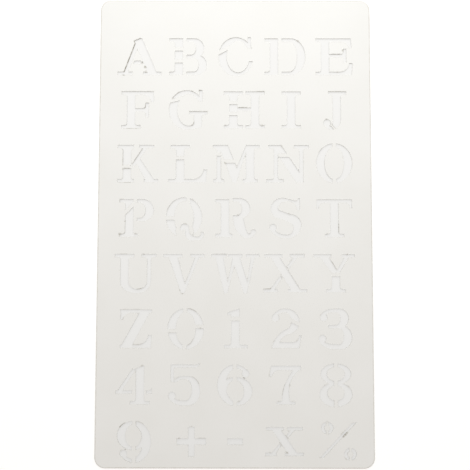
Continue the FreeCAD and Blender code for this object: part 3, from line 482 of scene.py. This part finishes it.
def add(nodes, kind, **values):
    """A new node with these settings and unlinked inputs."""
    node = nodes.new(kind)
    for key, value in values.items():
        if key in node.inputs:
            node.inputs[key].default_value = value
        else:
            setattr(node, key, value)
    return node


def worked_out(nodes, links, operation, *values):
    """The output of a math node, on the outputs of other nodes and on plain numbers."""
    node = add(nodes, "ShaderNodeMath", operation=operation)
    for socket, value in zip(node.inputs, values):
        if isinstance(value, bpy.types.NodeSocket):
            links.new(value, socket)
        else:
            socket.default_value = value
    return node.outputs["Value"]


def ranged(nodes, links, source, span, results):
    """An output that runs from one result to the other while the source runs over the span."""
    node = add(nodes, "ShaderNodeMapRange")
    for name, value in zip(("From Min", "From Max", "To Min", "To Max"), (*span, *results)):
        node.inputs[name].default_value = value
    links.new(source, node.inputs["Value"])
    return node.outputs["Result"]


def plastic():
    """Matt white sheet: faint mottling and grain, a tinge where it was cut, painted shade on the
    sheet's own rim, and scorch marks with painted shade along some upper cut edges.
    """
    material, nodes, links = node_tree("white_plastic_sheet")
    shader = nodes["Principled BSDF"]
    shader.inputs["IOR"].default_value = PLASTIC_IOR
    place = add(nodes, "ShaderNodeTexCoord")
    clouds = add(nodes, "ShaderNodeTexNoise", Scale=MOTTLING_SCALE, Detail=3.0)
    specks = add(nodes, "ShaderNodeTexNoise", Scale=SPECK_SCALE, Detail=2.0)
    soot_and_shade = add(nodes, "ShaderNodeTexNoise", Scale=SOOT_AND_SHADE_SCALE, Detail=3.0)
    grain = add(nodes, "ShaderNodeTexNoise", Scale=GRAIN_SCALE, Detail=2.0)
    for node in (clouds, specks, soot_and_shade, grain):
        links.new(place.outputs["Object"], node.inputs["Vector"])
    tone = add(nodes, "ShaderNodeValToRGB")
    for stop, position, shade in zip(tone.color_ramp.elements, TONE_PLACES, PLASTIC_TONES):
        stop.position = position
        stop.color = (*shade, 1)
    links.new(clouds.outputs["Fac"], tone.inputs["Fac"])
    color = tone.outputs["Color"]
    # Attribute, its patches, the noise values that they span, how strong they are there, colour.
    marks = (
        # the cut's tinge, and painted shade on the sheet's own rim
        ("edge", specks, (0.35, 0.75), (0.25, 1.0), TINGE_AND_RIM_SHADE_COLOR),
        # scorch, and painted shade along some upper cut edges and narrow slots
        ("scorch_and_shade", soot_and_shade, (0.35, 0.6), (0.35, 1.0), SOOT_AND_SHADE_COLOR),
    )
    for name, patches, span, strengths, shade in marks:
        mark = add(nodes, "ShaderNodeAttribute", attribute_name=name)
        patch = ranged(nodes, links, patches.outputs["Fac"], span, strengths)
        strength = worked_out(nodes, links, "MULTIPLY", patch, mark.outputs["Fac"])
        mix = add(nodes, "ShaderNodeMix", data_type="RGBA", B=(*shade, 1))
        links.new(strength, mix.inputs["Factor"])
        links.new(color, mix.inputs["A"])
        color = mix.outputs["Result"]
    links.new(color, shader.inputs["Base Color"])
    roughness = ranged(nodes, links, clouds.outputs["Fac"], (0.0, 1.0), PLASTIC_ROUGHNESS)
    links.new(roughness, shader.inputs["Roughness"])
    bump = add(nodes, "ShaderNodeBump", Strength=GRAIN_STRENGTH, Distance=GRAIN_DEPTH)
    links.new(grain.outputs["Fac"], bump.inputs["Height"])
    links.new(bump.outputs["Normal"], shader.inputs["Normal"])
    return material


def paper():
    """Plain sheet under the stencil, which the camera sees as white, with the stencil's shadows.
    Through the openings its glow grows towards the plate's upper end, a painted falloff of the
    window's light.
    """
    material, nodes, links = node_tree("white_sheet")
    shader = nodes["Principled BSDF"]
    shader.inputs["Roughness"].default_value = PAPER_ROUGHNESS
    shader.inputs["Emission Color"].default_value = (*GLOW_COLOR, 1)
    place = add(nodes, "ShaderNodeTexCoord")
    axes = add(nodes, "ShaderNodeSeparateXYZ")
    links.new(place.outputs["Object"], axes.inputs["Vector"])
    beyond = []
    for axis, half in (("X", HALF_WIDTH), ("Y", HALF_LENGTH)):
        size = worked_out(nodes, links, "ABSOLUTE", axes.outputs[axis])
        beyond.append(worked_out(nodes, links, "GREATER_THAN", size, half - OPENING_MARGIN))
    outside = worked_out(nodes, links, "MAXIMUM", *beyond)
    color = add(nodes, "ShaderNodeMix", data_type="RGBA")
    color.inputs["A"].default_value = (*OPENING_COLOR, 1)
    color.inputs["B"].default_value = (*PAPER_COLOR, 1)
    links.new(outside, color.inputs["Factor"])
    links.new(color.outputs["Result"], shader.inputs["Base Color"])
    # painted light: the glow seen through the openings grows towards the upper end, where the
    # window is
    inside = ranged(nodes, links, axes.outputs["Y"], (-HALF_LENGTH, HALF_LENGTH), OPENING_GLOW_WITH_PAINTED_FALLOFF)
    glow = add(nodes, "ShaderNodeMix", B=PAPER_GLOW)
    links.new(outside, glow.inputs["Factor"])
    links.new(inside, glow.inputs["A"])
    rays = add(nodes, "ShaderNodeLightPath")
    direct = rays.outputs["Is Camera Ray"]
    for kind in ("Is Glossy Ray", "Is Transmission Ray"):
        direct = worked_out(nodes, links, "MAXIMUM", direct, rays.outputs[kind])
    seen = worked_out(nodes, links, "MULTIPLY", direct, glow.outputs["Result"])
    links.new(seen, shader.inputs["Emission Strength"])
    return material


# ---------------------------------------------------------------- floor, light and camera


def new_object(name, data):
    """A new object in the scene."""
    made = bpy.data.objects.new(name, data)
    bpy.context.scene.collection.objects.link(made)
    return made


def add_floor():
    half = FLOOR_SIDE / 2
    corners = [(-half, -half, 0), (half, -half, 0), (half, half, 0), (-half, half, 0)]
    mesh = bpy.data.meshes.new("floor")
    mesh.from_pydata(corners, [], [(0, 1, 2, 3)])
    mesh.materials.append(paper())
    floor = new_object("floor", mesh)
    floor.location.z = -FLOOR_DROP


def add_window():
    """Soft light from above the upper end of the plate, turned to the plate's middle."""
    lamp = bpy.data.lights.new("window", "AREA")
    lamp.shape = "SQUARE"
    lamp.size = WINDOW_SIDE
    lamp.energy = WINDOW_POWER
    lamp.color = WINDOW_COLOR
    light = new_object("window", lamp)
    light.location = WINDOW_PLACE
    light.rotation_euler = (-Vector(WINDOW_PLACE)).to_track_quat("-Z", "Y").to_euler()


def add_world():
    """Even light from all sides, behind which the camera sees plain white."""
    world = bpy.data.worlds.new("studio")
    world.use_nodes = True
    nodes = world.node_tree.nodes
    links = world.node_tree.links
    soft = nodes["Background"]
    soft.inputs["Color"].default_value = (*WORLD_COLOR, 1)
    soft.inputs["Strength"].default_value = WORLD_STRENGTH
    white = add(nodes, "ShaderNodeBackground", Color=(1, 1, 1, 1))
    rays = add(nodes, "ShaderNodeLightPath")
    mix = add(nodes, "ShaderNodeMixShader")
    links.new(rays.outputs["Is Camera Ray"], mix.inputs["Fac"])
    links.new(soft.outputs["Background"], mix.inputs[1])
    links.new(white.outputs["Background"], mix.inputs[2])
    links.new(mix.outputs["Shader"], nodes["World Output"].inputs["Surface"])
    bpy.context.scene.world = world


def add_camera():
    data = bpy.data.cameras.new("camera")
    data.sensor_width = CAMERA_SENSOR
    data.lens = CAMERA_LENS
    data.clip_start = CAMERA_NEAREST
    camera = new_object("camera", data)
    back = Vector((
        math.sin(CAMERA_SWING) * math.sin(CAMERA_TILT),
        -math.cos(CAMERA_SWING) * math.sin(CAMERA_TILT),
        math.cos(CAMERA_TILT)))
    right = Vector((0, 1, 0)).cross(back).normalized()
    camera.location = CAMERA_TARGET + CAMERA_DISTANCE * back
    camera.rotation_euler = Matrix((right, back.cross(right), back)).transposed().to_euler()
    camera.rotation_euler.rotate_axis("Z", CAMERA_ROLL)
    bpy.context.scene.camera = camera


# ---------------------------------------------------------------- the scene

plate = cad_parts["stencil_plate"]
all_marks = scorch_and_shade_marks()
outlines = [resampled(loop, marks_near(loop, all_marks)) for loop in rims(plate.data)]
stencil = new_object("stencil_sheet", plate_mesh(outlines, all_marks))
stencil.data.materials.append(plastic())
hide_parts("stencil_plate")
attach(stencil, "root")

add_floor()
add_world()
add_window()
add_camera()
bpy.context.scene.view_settings.view_transform = "Standard"
